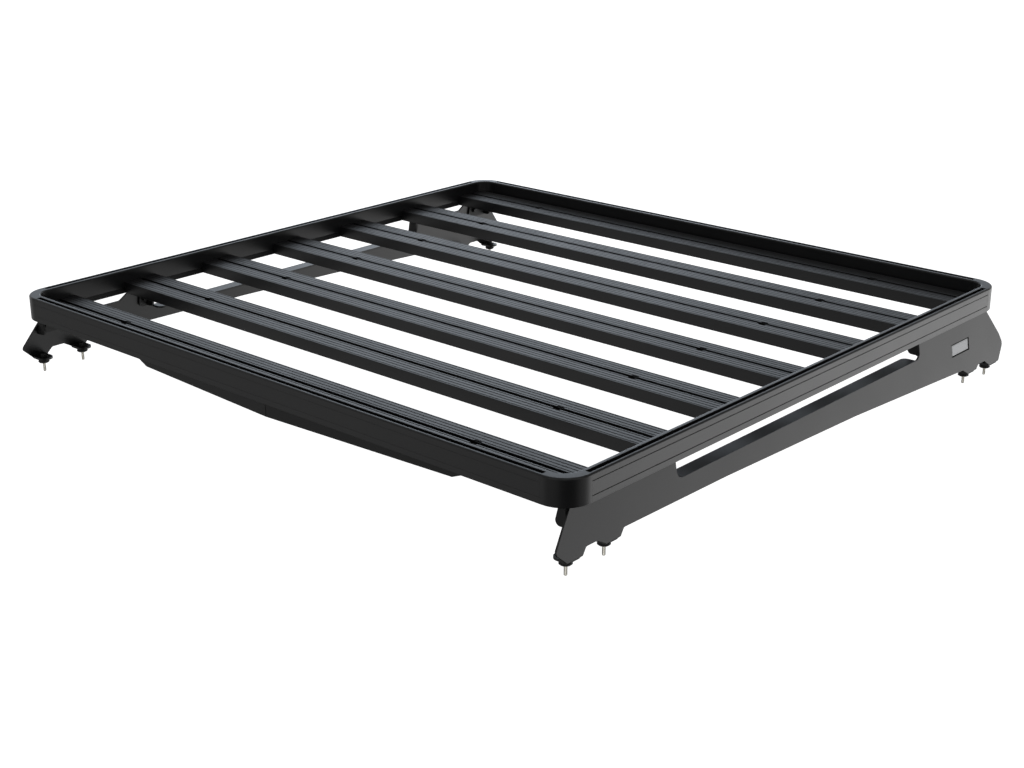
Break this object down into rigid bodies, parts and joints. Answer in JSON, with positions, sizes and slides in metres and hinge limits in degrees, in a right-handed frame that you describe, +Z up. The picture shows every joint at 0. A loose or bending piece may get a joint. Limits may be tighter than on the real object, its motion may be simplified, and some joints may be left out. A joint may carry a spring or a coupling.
{
  "type": "flat platform roof rack",
  "caption": "Flat vehicle roof rack: black slats in a low rounded rim, on two bent-sheet foot rails with studs and rubber pads, and a wind fairing at the front.",
  "frame": {"origin": "under the middle of the rack's box, level with the tips of the rearmost studs", "axes": "+X to the right of a viewer who faces the rack's front, +Y to the rack's rear, +Z up; left and right in the names are that viewer's"},
  "size_m": [1.425, 1.4156, 0.2005],
  "materials": {
    "rim_coat": "satin powder coat",
    "corner_coat": "satin powder coat",
    "slat_coat": "satin powder coat",
    "sheet_coat": "satin powder coat",
    "fairing_coat": "satin powder coat",
    "bracket_coat": "satin powder coat",
    "pad_rubber": "matte",
    "stud_steel": "satin",
    "badge_aluminium": "brushed"
  },
  "bodies": {
    "root": {"front_rim_rail": "rim_coat", "rear_rim_rail": "rim_coat", "left_rim_rail": "rim_coat", "right_rim_rail": "rim_coat", "front_left_corner": "corner_coat", "front_right_corner": "corner_coat", "rear_left_corner": "corner_coat", "rear_right_corner": "corner_coat", "slat_1": "slat_coat", "slat_2": "slat_coat", "slat_3": "slat_coat", "slat_4": "slat_coat", "slat_5": "slat_coat", "slat_6": "slat_coat", "slat_7": "slat_coat", "left_foot_rail": "sheet_coat", "left_fairing": "fairing_coat", "left_front_end_bracket": "bracket_coat", "left_front_slat_bracket": "bracket_coat", "left_rear_slat_bracket": "bracket_coat", "left_rear_end_bracket": "bracket_coat", "left_front_outer_pad": "pad_rubber", "left_front_outer_stud": "stud_steel", "left_front_inner_pad": "pad_rubber", "left_front_inner_stud": "stud_steel", "left_rear_inner_pad": "pad_rubber", "left_rear_inner_stud": "stud_steel", "left_rear_outer_pad": "pad_rubber", "left_rear_outer_stud": "stud_steel", "right_foot_rail": "sheet_coat", "right_fairing": "fairing_coat", "right_front_end_bracket": "bracket_coat", "right_front_slat_bracket": "bracket_coat", "right_rear_slat_bracket": "bracket_coat", "right_rear_end_bracket": "bracket_coat", "right_front_outer_pad": "pad_rubber", "right_front_outer_stud": "stud_steel", "right_front_inner_pad": "pad_rubber", "right_front_inner_stud": "stud_steel", "right_rear_inner_pad": "pad_rubber", "right_rear_inner_stud": "stud_steel", "right_rear_outer_pad": "pad_rubber", "right_rear_outer_stud": "stud_steel", "badge_plates": "badge_aluminium"}
  },
  "joints": []
}
